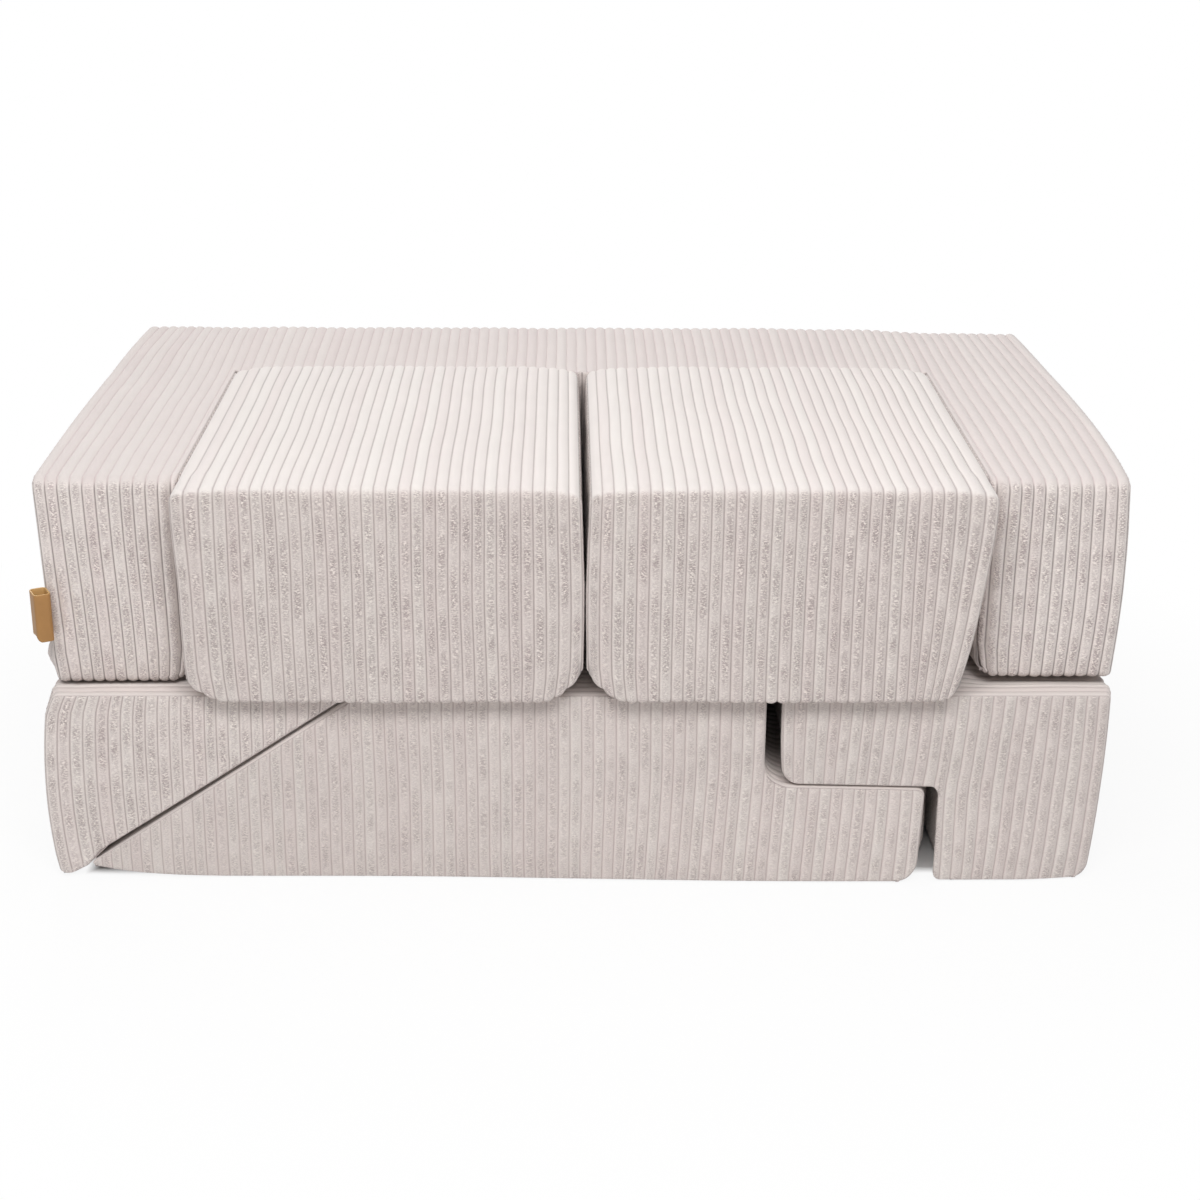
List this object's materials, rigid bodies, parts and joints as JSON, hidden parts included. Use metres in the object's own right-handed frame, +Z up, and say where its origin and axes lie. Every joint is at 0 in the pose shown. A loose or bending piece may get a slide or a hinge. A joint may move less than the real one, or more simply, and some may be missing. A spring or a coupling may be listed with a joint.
{
  "type": "modular foam play sofa",
  "caption": "Low corduroy play sofa of loose foam blocks: a wedge, a ramp and a hooked block below, a U-shaped back with arms and seat cushions above, all in zipped covers.",
  "frame": {"origin": "on the floor, at the centre of the footprint of the lower layer of blocks", "axes": "+X along the sofa to the viewer's right, -Y the side one sits down from, +Z up"},
  "size_m": [1.221, 0.708, 0.4752],
  "materials": {
    "corduroy": "matte",
    "foam": "matte",
    "zip_tape": "matte",
    "zip_slider": "satin",
    "tag_leather": "matte"
  },
  "bodies": {
    "wedge": {"wedge_foam_core": "foam", "wedge_front_panel": "corduroy", "wedge_back_panel": "corduroy", "wedge_boxing_strip": "corduroy", "wedge_slope_panel": "corduroy", "wedge_zip_chain": "zip_tape"},
    "ramp_block": {"ramp_block_foam_core": "foam", "ramp_block_front_panel": "corduroy", "ramp_block_back_panel": "corduroy", "ramp_block_boxing_strip": "corduroy", "ramp_block_bottom_panel": "corduroy", "ramp_block_zip_chain": "zip_tape"},
    "hook_block": {"hook_block_foam_core": "foam", "hook_block_front_panel": "corduroy", "hook_block_back_panel": "corduroy", "hook_block_boxing_strip": "corduroy", "hook_block_bottom_panel": "corduroy", "hook_block_zip_chain": "zip_tape"},
    "back": {"back_foam_core": "foam", "back_main_panel": "corduroy", "back_left_side_panel": "corduroy", "back_right_side_panel": "corduroy", "back_recess_strip": "corduroy", "back_bottom_panel": "corduroy", "back_leather_tag": "tag_leather", "back_zip_chain": "zip_tape"},
    "left_cushion": {"left_cushion_foam_core": "foam", "left_cushion_wrap_panel": "corduroy", "left_cushion_left_side_panel": "corduroy", "left_cushion_right_side_panel": "corduroy", "left_cushion_zip_chain": "zip_tape"},
    "right_cushion": {"right_cushion_foam_core": "foam", "right_cushion_wrap_panel": "corduroy", "right_cushion_left_side_panel": "corduroy", "right_cushion_right_side_panel": "corduroy", "right_cushion_zip_chain": "zip_tape"},
    "wedge_zip_slider": {"wedge_zip_slider": "zip_slider"},
    "ramp_block_zip_slider": {"ramp_block_zip_slider": "zip_slider"},
    "hook_block_zip_slider": {"hook_block_zip_slider": "zip_slider"},
    "back_zip_slider": {"back_zip_slider": "zip_slider"},
    "left_cushion_zip_slider": {"left_cushion_zip_slider": "zip_slider"},
    "right_cushion_zip_slider": {"right_cushion_zip_slider": "zip_slider"}
  },
  "joints": [
    {"name": "back_lift", "type": "slide", "parent": "ramp_block", "child": "back", "axis": [0, 0, 1], "range_m": [0, 0.3]},
    {"name": "left_cushion_lift", "type": "slide", "parent": "ramp_block", "child": "left_cushion", "axis": [0, 0, 1], "range_m": [0, 0.3]},
    {"name": "right_cushion_lift", "type": "slide", "parent": "ramp_block", "child": "right_cushion", "axis": [0, 0, 1], "range_m": [0, 0.3]},
    {"name": "wedge_pull", "type": "slide", "parent": "ramp_block", "child": "wedge", "axis": [-1, 0, 0], "range_m": [0, 0.35]},
    {"name": "hook_block_pull", "type": "slide", "parent": "ramp_block", "child": "hook_block", "axis": [1, 0, 0], "range_m": [0, 0.25]},
    {"name": "wedge_zip", "type": "slide", "parent": "wedge", "child": "wedge_zip_slider", "axis": [-1, 0, 0], "range_m": [0, 0.1735]},
    {"name": "ramp_block_zip", "type": "slide", "parent": "ramp_block", "child": "ramp_block_zip_slider", "axis": [-1, 0, 0], "range_m": [0, 0.793]},
    {"name": "hook_block_zip", "type": "slide", "parent": "hook_block", "child": "hook_block_zip_slider", "axis": [-1, 0, 0], "range_m": [0, 0.2868]},
    {"name": "back_zip", "type": "slide", "parent": "back", "child": "back_zip_slider", "axis": [-1, 0, 0], "range_m": [0, 1.0628]},
    {"name": "left_cushion_zip", "type": "slide", "parent": "left_cushion", "child": "left_cushion_zip_slider", "axis": [-1, 0, 0], "range_m": [0, 0.3448]},
    {"name": "right_cushion_zip", "type": "slide", "parent": "right_cushion", "child": "right_cushion_zip_slider", "axis": [-1, 0, 0], "range_m": [0, 0.3448]}
  ]
}
